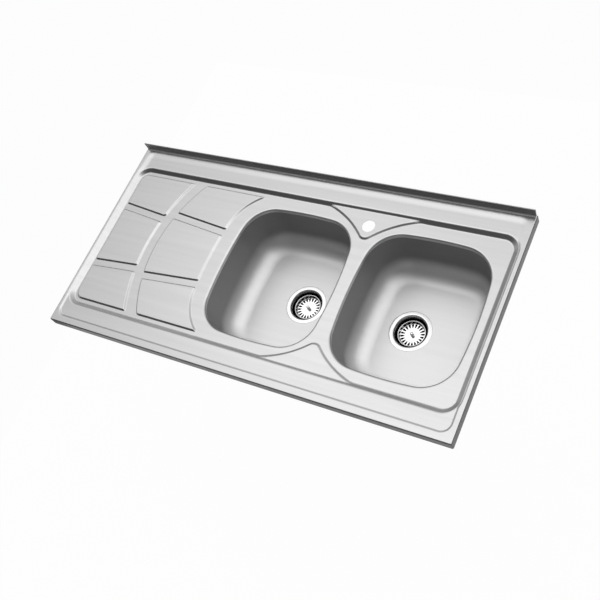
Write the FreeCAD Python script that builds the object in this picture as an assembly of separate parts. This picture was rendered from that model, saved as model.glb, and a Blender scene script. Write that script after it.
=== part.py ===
import FreeCAD, Part
import math
import os
from FreeCAD import Vector

# A lay-on stainless steel sink top with a drainer on the left and two bowls on the right.
# Millimetres. X runs along the front, Y to the back, Z up.
# The origin is the middle of the seat, on the underside of the skirt's turned-in lip.

# Pressed top, overall
top_length = 1200.0
top_depth = 600.0
sheet = 0.8
skirt_height = 28.0
lip_width = 12.0
edge_radius = 3.0
corner_radius = 4.0

# Upstand along the back, folded over into a hem
upstand_height = 26.0
upstand_thickness = 3.2
upstand_foot_radius = 3.0

# Deck, the shallow step inside the border
deck_drop = 2.0
deck_front_margin = 18.0
deck_back_margin = 22.0
deck_step_run = 4.0
deck_corner_radius = 28.0
deck_step_shape = [(0.0, 0.0), (0.25, 0.15), (0.75, 0.85), (1.0, 1.0)]

# Tray, the deeper step that holds the drainer and the bowls
tray_depth = 8.0
tray_left_margin = 8.0
tray_right_margin = 13.0
tray_front_margin = 61.0
tray_back_margin = 62.0
tray_wall_run = 15.0
tray_corner_radius = 45.0
tray_rim_run = 2.5
tray_wall_shape = [(0.0, 0.0), (0.12, 0.07), (0.3, 0.26), (0.68, 0.74), (0.86, 0.93), (1.0, 1.0)]

# Bowls
bowl_width = 338.0
bowl_length = 380.0
bowl_corner_radius = 90.0
bowl_side_radius = 1100.0
bowl_depth = 148.0
bowl_draft = 8.0
bowl_floor_radius = 62.0
bowl_centre_y = -4.0
divider_x = 194.0
divider_width = 39.0
rim_radius = 6.0
collar_depth = 9.0
rim_turns = (0.0, 22.5, 45.0, 67.5, 90.0)

# Raised landings between the bowls, and the tap hole in the back one
landing_rise = 3.5
landing_half_width = 128.0
landing_nose_reach = 139.0
landing_side_bulge = 11.5
landing_nose_radius = 24.0
landing_edge_radius = 3.0
tap_hole_diameter = 35.0
tap_hole_reach = 191.5

# Drainer panels
panel_rise = 3.2
panel_left_gap = 3.0
panel_front_gap = 8.5
panel_back_gap = 7.5
panel_outer_radius = 24.0
panel_inner_radius = 5.0
panel_edge_radius = 3.0
panel_corner_angle = 10.0
field_end_x = -209.0
field_end_radius = 900.0
field_end_corner_run = 112.0
field_end_flare = 73.0
channel_left_x = -425.0
channel_left_radius = 510.0
channel_right_x = -400.0
channel_right_radius = 410.0
row_channel_width = 17.0
left_back_row_y = 90.5
left_front_row_y = -92.0
right_back_row_y = 92.0
right_front_row_y = -93.0
back_row_slope = -0.107
front_row_slope = 0.083

# Waste seat pressed into each bowl floor
drain_offset = 34.0
seat_diameter = 118.0
seat_drop = 2.5
waste_hole_diameter = 90.0

# Strainer cup, its seals and the waste body
flange_diameter = 113.0
flange_thickness = 1.0
cup_mouth_diameter = 86.0
cup_floor_diameter = 77.0
cup_depth = 27.0
cup_wall = 1.0
cup_roll = 1.5
dimple_depth = 4.0
dimple_diameter = 14.2
flange_seal_thickness = 1.1
flange_seal_bore = 92.0
body_seal_thickness = 2.0
body_rim_diameter = 115.0
body_wall = 2.5
outlet_diameter = 47.8
outlet_bore = 40.0
outlet_length = 24.0
boss_diameter = 16.0
boss_length = 20.0
rib_width = 3.0
rib_height = 8.0
rib_count = 3
insert_diameter = 9.0
insert_length = 14.0
screw_diameter = 5.9
screw_length = 19.0
screw_head_diameter = 11.0
screw_head_height = 2.1
screw_slot_width = 1.4
screw_crown = 0.6
thread_clearance = 0.05
hole_clearance = 0.35
cup_hole_count = 6
cup_hole_diameter = 8.0
cup_hole_pitch_diameter = 26.0

# Lift-out basket
basket_rim_diameter = 74.0
basket_floor_diameter = 66.0
basket_height = 11.5
basket_wall = 0.7
basket_rim_roll = 1.8
basket_slot_count = 20
basket_slot_width = 2.4
basket_slot_inner_diameter = 39.0
basket_slot_outer_diameter = 60.0
stopper_diameter = 34.0
stopper_thickness = 3.5
stopper_lift = 0.3
washer_diameter = 12.0
washer_thickness = 0.8
stem_diameter = 5.0
stem_end_diameter = 7.0
stem_end_height = 0.8
knob_diameter = 11.0
knob_height = 14.0
knob_neck_diameter = 6.0
knob_head_height = 5.6
knob_crown = 1.7
knob_foot_height = 1.0

# Underside
pad_width = 60.0
pad_length = 190.0
pad_thickness = 3.0
pad_corner_radius = 8.0
rail_length = 434.0
rail_width = 52.0
rail_flange = 12.0
rail_height = 10.0
left_rail_reach = 92.0
right_rail_reach = 302.0

# Levels and places that follow from the sizes above
margin = 1.0
close = 1e-6
half_length = top_length / 2
half_depth = top_depth / 2
border_z = skirt_height
deck_z = border_z - deck_drop
tray_z = deck_z - tray_depth
weld_z = tray_z - collar_depth
bowl_floor_z = tray_z - bowl_depth
landing_z = tray_z + landing_rise
tray_left = -half_length + tray_left_margin
tray_right = half_length - tray_right_margin
tray_front = -half_depth + tray_front_margin
tray_back = half_depth - tray_back_margin
bowl_shift = (bowl_width + divider_width) / 2
bowl_centres = {"left": divider_x - bowl_shift, "right": divider_x + bowl_shift}
drain_centres = {"left": bowl_centres["left"] + drain_offset, "right": bowl_centres["right"] - drain_offset}


def rounded_rectangle(x0, y0, x1, y1, radius, z):
    """Closed wire of four lines and four corner arcs."""
    edges = []
    corners = [(x1 - radius, y0 + radius, -90), (x1 - radius, y1 - radius, 0),
               (x0 + radius, y1 - radius, 90), (x0 + radius, y0 + radius, 180)]
    start = Vector(x0 + radius, y0, z)
    for cx, cy, turn in corners:
        a, m, b = [Vector(cx + radius * math.cos(math.radians(turn + t)),
                          cy + radius * math.sin(math.radians(turn + t)), z) for t in (0, 45, 90)]
        edges.append(Part.makeLine(start, a))
        edges.append(Part.Arc(a, m, b).toShape())
        start = b
    return Part.Wire(edges)


def prism(wire, height):
    return Part.Face(wire).extrude(Vector(0, 0, height))


def ruled_solid(wires):
    return Part.makeLoft(wires, True, True)


def lowered(shape, drop):
    copy = shape.copy()
    copy.translate(Vector(0, 0, -drop))
    return copy


def point_on_edge(edge):
    return edge.valueAt((edge.FirstParameter + edge.LastParameter) / 2)


def is_upright_corner(solid, edge):
    """True for an upright edge whose two faces meet at an angle."""
    if edge.tangentAt(edge.FirstParameter).cross(Vector(0, 0, 1)).Length > close:
        return False
    point = point_on_edge(edge)
    faces = solid.ancestorsOfType(edge, Part.Face)
    normals = [f.normalAt(*f.Surface.parameter(point)) for f in faces]
    return normals[0].getAngle(normals[-1]) > math.radians(panel_corner_angle)


def top_block(inset, bottom, top):
    """Outline of the top with rounded front corners and a rolled edge on three sides."""
    x = half_length - inset
    y = half_depth - inset
    r = corner_radius - inset
    s = r * (1 - math.sqrt(0.5))
    corners = [Vector(x, y, bottom), Vector(-x, y, bottom), Vector(-x, -y + r, bottom),
               Vector(-x + r, -y, bottom), Vector(x - r, -y, bottom), Vector(x, -y + r, bottom)]
    edges = [Part.makeLine(corners[0], corners[1]), Part.makeLine(corners[1], corners[2]),
             Part.Arc(corners[2], Vector(-x + s, -y + s, bottom), corners[3]).toShape(),
             Part.makeLine(corners[3], corners[4]),
             Part.Arc(corners[4], Vector(x - s, -y + s, bottom), corners[5]).toShape(),
             Part.makeLine(corners[5], corners[0])]
    block = prism(Part.Wire(edges), top - bottom)
    rolled = [e for e in block.Edges
              if abs(point_on_edge(e).z - top) < close and point_on_edge(e).y < y - close]
    return block.makeFillet(edge_radius - inset, rolled)


def deck_recess():
    """Shallow recess whose soft step runs round the deck."""
    x0 = tray_left - tray_rim_run / 2
    x1 = tray_right + tray_rim_run / 2
    y0 = -half_depth + deck_front_margin
    y1 = half_depth - deck_back_margin

    def inset(d, z):
        return rounded_rectangle(x0 + d, y0 + d, x1 - d, y1 - d, deck_corner_radius - d, z)

    wires = [inset(-margin, border_z + margin)]
    for run, fall in deck_step_shape:
        wires.append(inset(run * deck_step_run, border_z - fall * deck_drop))
    return ruled_solid(wires)


def tray_inset(d, z):
    return rounded_rectangle(tray_left + d, tray_front + d, tray_right - d, tray_back - d,
                             tray_corner_radius - d, z)


def tray_recess():
    """Tray with an S-shaped wall, open up to the border at its two ends."""
    wires = [tray_inset(-tray_rim_run - margin, border_z + margin), tray_inset(-tray_rim_run, border_z)]
    for run, fall in tray_wall_shape:
        wires.append(tray_inset(run * tray_wall_run, deck_z - fall * tray_depth))
    return ruled_solid(wires)


def bowl_outline(centre_x, outset, z):
    """Bowed rectangle: four long side arcs joined by four tangent corner arcs."""
    a = bowl_width / 2 + outset
    b = bowl_length / 2 + outset
    side = bowl_side_radius + outset
    corner = bowl_corner_radius + outset
    px = a - side
    py = b - side
    gap = math.hypot(px, py)
    reach = side - corner
    climb = math.sqrt(reach ** 2 - (gap / 2) ** 2)
    cx = px / 2 - climb * py / gap
    cy = py / 2 - climb * px / gap
    to_side = side / reach
    on_x = (px + (cx - px) * to_side, cy * to_side)
    on_y = (cx * to_side, py + (cy - py) * to_side)
    way = math.atan2(on_x[1] - cy, on_x[0] - cx) + math.atan2(on_y[1] - cy, on_y[0] - cx)
    on_c = (cx + corner * math.cos(way / 2), cy + corner * math.sin(way / 2))

    def at(point, sx, sy):
        return Vector(centre_x + sx * point[0], bowl_centre_y + sy * point[1], z)

    right, back = (a, 0.0), (0.0, b)
    arcs = [(at(on_x, 1, -1), at(right, 1, 1), at(on_x, 1, 1)),
            (at(on_x, 1, 1), at(on_c, 1, 1), at(on_y, 1, 1)),
            (at(on_y, 1, 1), at(back, 1, 1), at(on_y, -1, 1)),
            (at(on_y, -1, 1), at(on_c, -1, 1), at(on_x, -1, 1)),
            (at(on_x, -1, 1), at(right, -1, 1), at(on_x, -1, -1)),
            (at(on_x, -1, -1), at(on_c, -1, -1), at(on_y, -1, -1)),
            (at(on_y, -1, -1), at(back, 1, -1), at(on_y, 1, -1)),
            (at(on_y, 1, -1), at(on_c, 1, -1), at(on_x, 1, -1))]
    return Part.Wire([Part.Arc(*points).toShape() for points in arcs])


def bowl_opening(centre_x, wall):
    """Opening in the tray floor, rolled over into a collar, or its outside where wall is the sheet."""
    radius = rim_radius - wall
    wires = [bowl_outline(centre_x, rim_radius, tray_z - wall + margin)]
    for turn in rim_turns:
        t = math.radians(turn)
        outset = rim_radius - radius * math.sin(t)
        wires.append(bowl_outline(centre_x, outset, tray_z - rim_radius + radius * math.cos(t)))
    wires.append(bowl_outline(centre_x, wall, -margin))
    return ruled_solid(wires)


def landing(side):
    """Raised landing between the bowls: side 1 is the back one, side -1 the front one."""
    wall = tray_back - tray_wall_run if side > 0 else -(tray_front + tray_wall_run)
    base = side * (wall + tray_wall_run / 2)
    nose = Vector(divider_x, bowl_centre_y + side * landing_nose_reach, tray_z - margin)
    ends = [Vector(divider_x + s * landing_half_width, side * wall, tray_z - margin) for s in (-1, 1)]
    sides = []
    for end in ends:
        middle = (end + nose) / 2
        across = Vector(nose.y - end.y, end.x - nose.x, 0).normalize()
        outward = across if across.y * side > 0 else -across
        sides.append(Part.Arc(end, middle + outward * landing_side_bulge, nose).toShape())
    feet = [Vector(end.x, base, end.z) for end in ends]
    outline = Part.Wire([sides[0], sides[1], Part.makeLine(ends[1], feet[1]),
                         Part.makeLine(feet[1], feet[0]), Part.makeLine(feet[0], ends[0])])
    solid = prism(outline, landing_rise + margin)
    nose_edges = [e for e in solid.Edges if abs(point_on_edge(e).x - divider_x) < close
                  and abs(point_on_edge(e).y - nose.y) < close]
    solid = solid.makeFillet(landing_nose_radius, nose_edges)
    shoulder = [e for e in solid.Edges if abs(point_on_edge(e).z - landing_z) < close
                and abs(point_on_edge(e).y) < wall - close]
    return solid.makeFillet(landing_edge_radius, shoulder)


def bulged_x(x, radius, y):
    """X at height y of an arc that bulges to the left and has its vertex at x."""
    return x + radius - math.sqrt(radius ** 2 - (y - bowl_centre_y) ** 2)


def tangent_arc(start, tangent, end):
    """Arc from start to end that leaves start along the tangent."""
    chord = end - start
    along = Vector(tangent).normalize()
    half_way = along + Vector(chord).normalize()
    half_way.normalize()
    quarter = half_way.getAngle(along)
    return Part.Arc(start, start + half_way * (chord.Length / 2 / math.cos(quarter)), end).toShape()


def panel_field(z, height):
    """Outline that the drainer panels fill, before the channels are cut."""
    x0 = tray_left + tray_wall_run + panel_left_gap
    y0 = tray_front + tray_wall_run + panel_front_gap
    y1 = tray_back - tray_wall_run - panel_back_gap
    r = panel_outer_radius
    s = r * (1 - math.sqrt(0.5))

    low, high = [Vector(bulged_x(field_end_x, field_end_radius, y), y, z)
                 for y in (y0 + field_end_corner_run, y1 - field_end_corner_run)]
    middle = Vector(field_end_x, bowl_centre_y, z)
    front = Vector(low.x + field_end_flare, y0, z)
    back = Vector(high.x + field_end_flare, y1, z)
    centre_x = field_end_x + field_end_radius
    down = Vector(bowl_centre_y - low.y, low.x - centre_x, 0)
    up = Vector(high.y - bowl_centre_y, centre_x - high.x, 0)
    corner_a = Part.Arc(Vector(x0, y0 + r, z), Vector(x0 + s, y0 + s, z), Vector(x0 + r, y0, z)).toShape()
    corner_b = Part.Arc(Vector(x0 + r, y1, z), Vector(x0 + s, y1 - s, z), Vector(x0, y1 - r, z)).toShape()
    edges = [corner_a, Part.makeLine(Vector(x0 + r, y0, z), front),
             tangent_arc(low, down, front), Part.Arc(low, middle, high).toShape(),
             tangent_arc(high, up, back),
             Part.makeLine(back, Vector(x0 + r, y1, z)), corner_b,
             Part.makeLine(Vector(x0, y1 - r, z), Vector(x0, y0 + r, z))]
    return prism(Part.Wire(edges), height)


def column_channel(z, height):
    """Curved channel between the two columns of panels."""
    y0 = tray_front
    y1 = tray_back

    def side(x, radius, ya, yb):
        points = [Vector(bulged_x(x, radius, y), y, z) for y in (ya, (ya + yb) / 2, yb)]
        return points[0], Part.Arc(*points).toShape(), points[2]

    a, left, b = side(channel_left_x, channel_left_radius, y0, y1)
    c, right, d = side(channel_right_x, channel_right_radius, y1, y0)
    outline = Part.Wire([left, Part.makeLine(b, c), right, Part.makeLine(d, a)])
    return prism(outline, height)


def row_channel(x0, x1, middle_x, middle_y, slope, z, height):
    """Straight, slightly slanted channel between two rows of panels."""
    half = row_channel_width / 2
    points = [Vector(x, middle_y + slope * (x - middle_x) + h, z)
              for x, h in ((x0, -half), (x1, -half), (x1, half), (x0, half), (x0, -half))]
    return prism(Part.makePolygon(points), height)


def drainer_panels():
    """Six raised panels, each with rounded corners and a rolled upper edge."""
    z = tray_z - margin
    height = panel_rise + margin
    meet = channel_right_x
    far_right = field_end_x + field_end_flare
    left_mid = (channel_left_x + tray_left + tray_wall_run) / 2
    right_mid = (channel_right_x + field_end_x) / 2
    channels = [column_channel(z, height),
                row_channel(tray_left, meet, left_mid, left_back_row_y, back_row_slope, z, height),
                row_channel(tray_left, meet, left_mid, left_front_row_y, front_row_slope, z, height),
                row_channel(meet, far_right, right_mid, right_back_row_y, back_row_slope, z, height),
                row_channel(meet, far_right, right_mid, right_front_row_y, front_row_slope, z, height)]
    panels = panel_field(z, height).cut(channels).Solids
    rounded = []
    for panel in panels:
        uprights = [e for e in panel.Edges if is_upright_corner(panel, e)]
        panel = panel.makeFillet(panel_inner_radius, uprights)
        rim = [e for e in panel.Edges if abs(point_on_edge(e).z - z - height) < close]
        rounded.append(panel.makeFillet(panel_edge_radius, rim))
    return rounded


def upstand():
    """Inverted U along the back: front wall with a rounded foot, folded top and back wall."""
    back = half_depth
    front = back - upstand_thickness
    r = upstand_foot_radius
    s = r * math.sqrt(0.5)
    outer = upstand_thickness / 2
    inner = outer - sheet
    top = border_z + upstand_height
    spring = top - outer
    low = border_z - sheet
    middle = back - outer
    x0 = -half_length + edge_radius

    def at(y, z):
        return Vector(x0, y, z)

    def line(a, b):
        return Part.makeLine(at(*a), at(*b))

    def arc(a, m, b):
        return Part.Arc(at(*a), at(*m), at(*b)).toShape()

    foot_a, foot_b = (front - r, border_z), (front, border_z + r)
    foot_m = (front - r + s, border_z + r - s)
    edges = [line((front - r, low), foot_a), arc(foot_a, foot_m, foot_b), line(foot_b, (front, spring)),
             arc((front, spring), (middle, top), (back, spring)), line((back, spring), (back, low)),
             line((back, low), (back - sheet, low)), line((back - sheet, low), (back - sheet, spring)),
             arc((back - sheet, spring), (middle, spring + inner), (front + sheet, spring)),
             line((front + sheet, spring), (front + sheet, low)),
             line((front + sheet, low), (front - r, low))]
    return Part.Face(Part.Wire(edges)).extrude(Vector(top_length - 2 * edge_radius, 0, 0))


def hem_slot():
    """Opens the hollow of the upstand to the space below the top."""
    size_x = top_length - 2 * edge_radius
    size_y = upstand_thickness - 2 * sheet
    corner = Vector(-size_x / 2, half_depth - upstand_thickness + sheet, border_z - sheet - margin)
    return Part.makeBox(size_x, size_y, sheet + 2 * margin, corner)


def sink_top():
    """Pressed sheet: the land above, less the same land one sheet lower, plus the folds."""
    recesses = [deck_recess(), tray_recess()]
    raised = drainer_panels() + [landing(1), landing(-1)]

    def land(block, wall):
        shape = block.cut([lowered(r, wall) for r in recesses])
        shape = shape.fuse([lowered(r, wall) for r in raised])
        return shape.cut([bowl_opening(x, wall) for x in bowl_centres.values()])

    skin = land(top_block(0.0, 0.0, border_z), 0.0)
    hollow = land(top_block(sheet, sheet, border_z - sheet), sheet)
    x = half_length - lip_width
    y = half_depth - lip_width
    way_in = prism(rounded_rectangle(-x, -y, x, y, corner_radius, -margin), sheet + 2 * margin)
    below_collars = [prism(bowl_outline(c, 2 * sheet, -margin), weld_z + margin)
                     for c in bowl_centres.values()]
    tap_hole = Part.makeCylinder(tap_hole_diameter / 2, border_z,
                                 Vector(divider_x, bowl_centre_y + tap_hole_reach, 0))
    shape = skin.cut([hollow, way_in, tap_hole] + below_collars)
    return shape.fuse(upstand()).cut(hem_slot()).removeSplitter()


def bowl(side):
    """Drawn bowl with drafted walls, a rounded floor and a pressed seat for the waste."""
    x = bowl_centres[side]
    drain = Vector(drain_centres[side], bowl_centre_y, 0)

    def cavity(wall):
        floor = bowl_floor_z - wall
        body = ruled_solid([bowl_outline(x, wall, weld_z), bowl_outline(x, wall - bowl_draft, floor)])
        bottom = [e for e in body.Edges if abs(point_on_edge(e).z - floor) < close]
        body = body.makeFillet(bowl_floor_radius + wall, bottom)
        seat_depth = seat_drop + bowl_floor_radius / 2
        seat = Part.makeCylinder(seat_diameter / 2 + wall, seat_depth,
                                 drain + Vector(0, 0, floor - seat_drop))
        return body.fuse(seat)

    hole = Part.makeCylinder(waste_hole_diameter / 2, bowl_depth,
                             drain + Vector(0, 0, bowl_floor_z - bowl_depth / 2))
    return cavity(sheet).cut([cavity(0.0), hole])


def turned(profile, x):
    """Solid of revolution about the drain's axis; the profile's heights are below the bowl floor."""
    points = [Vector(r, 0, bowl_floor_z + z) for r, z in profile]
    solid = Part.Face(Part.makePolygon(points + points[:1])).revolve(Vector(), Vector(0, 0, 1), 360)
    solid.translate(Vector(x, bowl_centre_y, 0))
    return solid


def ring(inner, outer, low, high, x):
    return turned([(inner / 2, low), (outer / 2, low), (outer / 2, high), (inner / 2, high)], x)


def round_pattern(shape, count, x):
    copies = []
    for i in range(count):
        copy = shape.copy()
        copy.rotate(Vector(x, bowl_centre_y, 0), Vector(0, 0, 1), 360.0 * i / count)
        copies.append(copy)
    return copies


# Heights of the waste below the bowl floor
seat_low = -seat_drop
flange_low = seat_low + flange_seal_thickness
flange_high = flange_low + flange_thickness
cup_floor = -cup_depth
dimple_floor = cup_floor - dimple_depth
dimple_under = dimple_floor - cup_wall
body_seal_high = seat_low - sheet
body_high = body_seal_high - body_seal_thickness
stopper_low = cup_floor + stopper_lift
basket_low = stopper_low + stopper_thickness
basket_floor = basket_low + basket_wall
basket_high = basket_low + basket_height
washer_low = stopper_low - washer_thickness
boss_low = dimple_under - boss_length
insert_high = dimple_under - margin
insert_low = insert_high - insert_length
cone_high = cup_floor - 2 * dimple_depth
cone_low = cone_high - (cup_floor_diameter - outlet_bore) / 4
outlet_low = cone_low - outlet_length


def strainer_cup(x):
    """Pressed flange and tapered cup with a ring of outlet holes and a dimple for the screw."""
    mouth = cup_mouth_diameter / 2
    foot = cup_floor_diameter / 2
    rim = flange_diameter / 2
    dimple = dimple_diameter / 2
    hole = screw_diameter / 2 + hole_clearance
    t = cup_wall
    roll = cup_roll
    profile = [(rim, flange_low), (mouth + roll + t, flange_low), (mouth + t, flange_low - roll),
               (foot + t, cup_floor + t), (foot - t, cup_floor - t), (dimple + t, cup_floor - t),
               (dimple, dimple_under), (hole, dimple_under), (hole, dimple_floor),
               (dimple - t, dimple_floor), (dimple, cup_floor), (foot - 2 * t, cup_floor),
               (foot, cup_floor + 2 * t), (mouth, flange_low - roll),
               (mouth + roll / 4, flange_low - roll / 8),
               (mouth + roll, flange_low + flange_thickness / 2), (mouth + 2 * roll, flange_high),
               (rim - roll, flange_high), (rim - roll / 4, flange_high - flange_thickness / 4)]
    cup = turned(profile, x)
    place = Vector(x + cup_hole_pitch_diameter / 2, bowl_centre_y, bowl_floor_z + cup_floor - 2 * cup_wall)
    outlet = Part.makeCylinder(cup_hole_diameter / 2, 3 * cup_wall, place)
    return cup.cut(round_pattern(outlet, cup_hole_count, x))


def waste_body(x):
    """Moulded body: rim, tapered bowl, threaded outlet and a boss held by ribs."""
    rim = body_rim_diameter / 2
    neck = waste_hole_diameter / 2
    t = body_wall
    bore = outlet_bore / 2
    foot = cup_floor_diameter / 2 + t
    spout = outlet_diameter / 2
    profile = [(neck, body_high), (rim, body_high), (rim, body_high - 2 * t), (neck + t, body_high - 4 * t),
               (foot + t, cone_high), (spout, cone_low), (spout, outlet_low), (bore, outlet_low),
               (bore, cone_low), (foot, cone_high), (neck, body_high - 3 * t)]
    shell = turned(profile, x)
    boss = ring(0.0, boss_diameter, boss_low, dimple_under, x)
    rib = Part.makeBox(bore + t / 2, rib_width, rib_height,
                       Vector(x, bowl_centre_y - rib_width / 2, bowl_floor_z + boss_low))
    hole = screw_diameter + 2 * hole_clearance
    pocket = insert_diameter + 2 * thread_clearance
    shape = shell.fuse([boss] + round_pattern(rib, rib_count, x))
    return shape.cut([ring(0.0, hole, boss_low - margin, dimple_under + margin, x),
                      ring(0.0, pocket, insert_low, dimple_under + margin, x)])


def waste_screw(x):
    """Slotted screw from the cup's dimple into the insert."""
    shank = screw_diameter / 2
    head = screw_head_diameter / 2
    low = dimple_floor - screw_length
    high = dimple_floor + screw_head_height
    crown = screw_crown
    screw = turned([(0, low), (shank - crown, low), (shank, low + crown), (shank, dimple_floor),
                    (head, dimple_floor), (head, high - crown), (head - crown, high), (0, high)], x)
    slot = Part.makeBox(screw_head_diameter, screw_slot_width, screw_head_height,
                        Vector(x - head, bowl_centre_y - screw_slot_width / 2,
                               bowl_floor_z + high - 2 * crown))
    return screw.cut(slot)


def basket(x):
    """Pressed basket with a rolled rim, a tapered wall and radial slots in its floor."""
    rim = basket_rim_diameter / 2
    foot = basket_floor_diameter / 2
    t = basket_wall
    roll = basket_rim_roll
    bend = 3 * t
    hole = stem_diameter / 2 + thread_clearance
    profile = [(hole, basket_low), (foot - bend, basket_low), (foot, basket_low + bend),
               (rim - roll, basket_high - roll), (rim, basket_high - roll), (rim, basket_high - t),
               (rim - t, basket_high), (rim - roll - t, basket_high), (rim - roll - 2 * t, basket_high - t),
               (foot - t, basket_floor + bend), (foot - bend, basket_floor), (hole, basket_floor)]
    cup = turned(profile, x)
    inner = basket_slot_inner_diameter / 2
    reach = basket_slot_outer_diameter / 2 - inner
    slot = Part.makeBox(reach, basket_slot_width, 3 * t,
                        Vector(x + inner, bowl_centre_y - basket_slot_width / 2,
                               bowl_floor_z + basket_low - t))
    return cup.cut(round_pattern(slot, basket_slot_count, x))


def basket_knob(x):
    """Pull with a mushroom head, and a stem riveted over under the stopper's washer."""
    stem = stem_diameter / 2
    end = stem_end_diameter / 2
    head = knob_diameter / 2
    neck = knob_neck_diameter / 2
    end_low = washer_low - stem_end_height
    high = basket_floor + knob_height
    foot = basket_floor + knob_foot_height
    under = high - knob_head_height
    crown = knob_crown
    profile = [(0, end_low), (end, end_low), (end, washer_low), (stem, washer_low), (stem, basket_floor),
               (head, basket_floor), (head, foot), (neck, foot + crown), (neck, under - crown),
               (head, under + crown / 2), (head, high - crown), (head - crown, high - crown / 4), (0, high)]
    return turned(profile, x)


def damping_pad(side):
    """Pad stuck under the bowl floor, on the side away from the waste."""
    away = -1 if side == "left" else 1
    inner_edge = drain_centres[side] + away * (seat_diameter / 2 + sheet + pad_thickness)
    x0 = min(inner_edge, inner_edge + away * pad_width)
    y0 = bowl_centre_y - pad_length / 2
    low = bowl_floor_z - sheet - pad_thickness
    outline = rounded_rectangle(x0, y0, x0 + pad_width, y0 + pad_length, pad_corner_radius, low)
    return prism(outline, pad_thickness)


def drainer_rail(x):
    """Hat-section rail bonded by its flanges to the underside of the tray."""
    top = tray_z - sheet
    half = rail_width / 2
    web = half - rail_flange
    y0 = (tray_front + tray_back) / 2 - rail_length / 2
    outside = [(-half, 0), (half, 0), (half, -sheet), (web, -sheet), (web - sheet, -rail_height),
               (-web + sheet, -rail_height), (-web, -sheet), (-half, -sheet)]
    inside = [(-web + sheet, margin), (web - sheet, margin), (web - 2 * sheet, sheet - rail_height),
              (-web + 2 * sheet, sheet - rail_height)]

    def bar(profile):
        points = [Vector(x + px, y0, top + pz) for px, pz in profile]
        return Part.Face(Part.makePolygon(points + points[:1])).extrude(Vector(0, rail_length, 0))

    return bar(outside).cut(bar(inside))


def waste_pieces(side):
    """Every piece of one waste, by node name."""
    x = drain_centres[side]
    flange_seal_rim = flange_diameter - 2 * sheet
    body_seal_bore = flange_seal_bore + 2 * sheet
    body_seal_rim = body_rim_diameter - 2 * sheet
    insert_bore = screw_diameter + 2 * thread_clearance
    stem_bore = stem_diameter + 2 * thread_clearance
    return {side + "_strainer_cup": strainer_cup(x),
            side + "_flange_seal": ring(flange_seal_bore, flange_seal_rim, seat_low, flange_low, x),
            side + "_body_seal": ring(body_seal_bore, body_seal_rim, body_high, body_seal_high, x),
            side + "_waste_body": waste_body(x),
            side + "_waste_insert": ring(insert_bore, insert_diameter, insert_low, insert_high, x),
            side + "_waste_screw": waste_screw(x),
            side + "_basket": basket(x),
            side + "_stopper": ring(stem_bore, stopper_diameter, stopper_low, basket_low, x),
            side + "_stopper_washer": ring(stem_bore, washer_diameter, washer_low, stopper_low, x),
            side + "_basket_knob": basket_knob(x)}


nodes = {"sink_top": sink_top()}
for side in ("left", "right"):
    nodes[side + "_bowl"] = bowl(side)
    nodes[side + "_damping_pad"] = damping_pad(side)
    nodes.update(waste_pieces(side))
nodes["left_drainer_rail"] = drainer_rail(tray_left + left_rail_reach)
nodes["right_drainer_rail"] = drainer_rail(tray_left + right_rail_reach)

os.makedirs("parts", exist_ok=True)
for name, shape in nodes.items():
    shape.exportStep("parts/" + name + ".step")
    print(name, "solids", len(shape.Solids), "valid", shape.isValid(), "volume", round(shape.Volume, 1))
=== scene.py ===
import math

import bmesh
import bpy
import numpy as np
from mathutils import Matrix, Vector
from mathutils.geometry import delaunay_2d_cdt


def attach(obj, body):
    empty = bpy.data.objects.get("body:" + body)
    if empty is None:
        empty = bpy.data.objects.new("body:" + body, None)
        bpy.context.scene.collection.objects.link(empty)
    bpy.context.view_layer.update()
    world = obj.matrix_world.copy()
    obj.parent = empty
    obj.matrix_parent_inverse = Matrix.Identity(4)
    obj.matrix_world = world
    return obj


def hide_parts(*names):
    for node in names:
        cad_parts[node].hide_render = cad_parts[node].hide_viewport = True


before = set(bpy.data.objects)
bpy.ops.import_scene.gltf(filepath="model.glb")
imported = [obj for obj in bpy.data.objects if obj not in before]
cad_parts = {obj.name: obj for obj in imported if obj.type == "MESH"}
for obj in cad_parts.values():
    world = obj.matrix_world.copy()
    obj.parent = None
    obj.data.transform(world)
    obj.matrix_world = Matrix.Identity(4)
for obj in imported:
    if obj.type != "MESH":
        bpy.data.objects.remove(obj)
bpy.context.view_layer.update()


# Pressed top: one sheet of satin stainless steel, 0.8 mm thick. The border, deck step, tray, drainer
# panels and landings are pressed in one stroke, the skirt and the upstand are folded afterwards, and the
# bowl openings are rolled down into collars that the bowls are welded to.

# Sizes are in millimetres, from the middle of the top and up from the lip's underside
mm = 0.001
sheet = 0.8
half_length = 600.0
half_depth = 300.0
border_z = 28.0
edge_roll = 3.0
edge_points = 8
corner_roll = 1.0
lip_width = 12.0
lip_roll = 1.6
upstand_top = 54.0
upstand_thickness = 3.2
upstand_foot = 3.0

deck_x = (-590.0, 588.25)
deck_y = (-282.0, 294.0)
deck_corner = 28.0
deck_run = 7.0
deck_back_run = 26.0
deck_drop = 2.0
deck_bend = 0.4
tray_x = (-588.0, 587.0)
tray_y = (-239.0, 238.0)
tray_corner = 45.0
tray_run = 15.0
tray_drop = 8.0
tray_rim = 2.5
tray_rim_blend = 0.5
deck_z = border_z - deck_drop
tray_z = deck_z - tray_drop

bowl_half_width = 169.0
bowl_half_length = 190.0
bowl_corner = 90.0
bowl_side = 1100.0
bowl_y = -4.0
divider_x = 194.0
bowl_shift = 188.5
bowl_x = {"left": divider_x - bowl_shift, "right": divider_x + bowl_shift}
rim_roll = 6.0
weld_z = 9.0

landing_rise = 3.5
landing_run = 7.5
landing_half_width = 128.0
landing_nose = 139.0
landing_bulge = 11.5
landing_nose_radius = 24.0
landing_fillet = 1.2
tap_hole_radius = 17.5
tap_hole_y = bowl_y + 191.5

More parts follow.
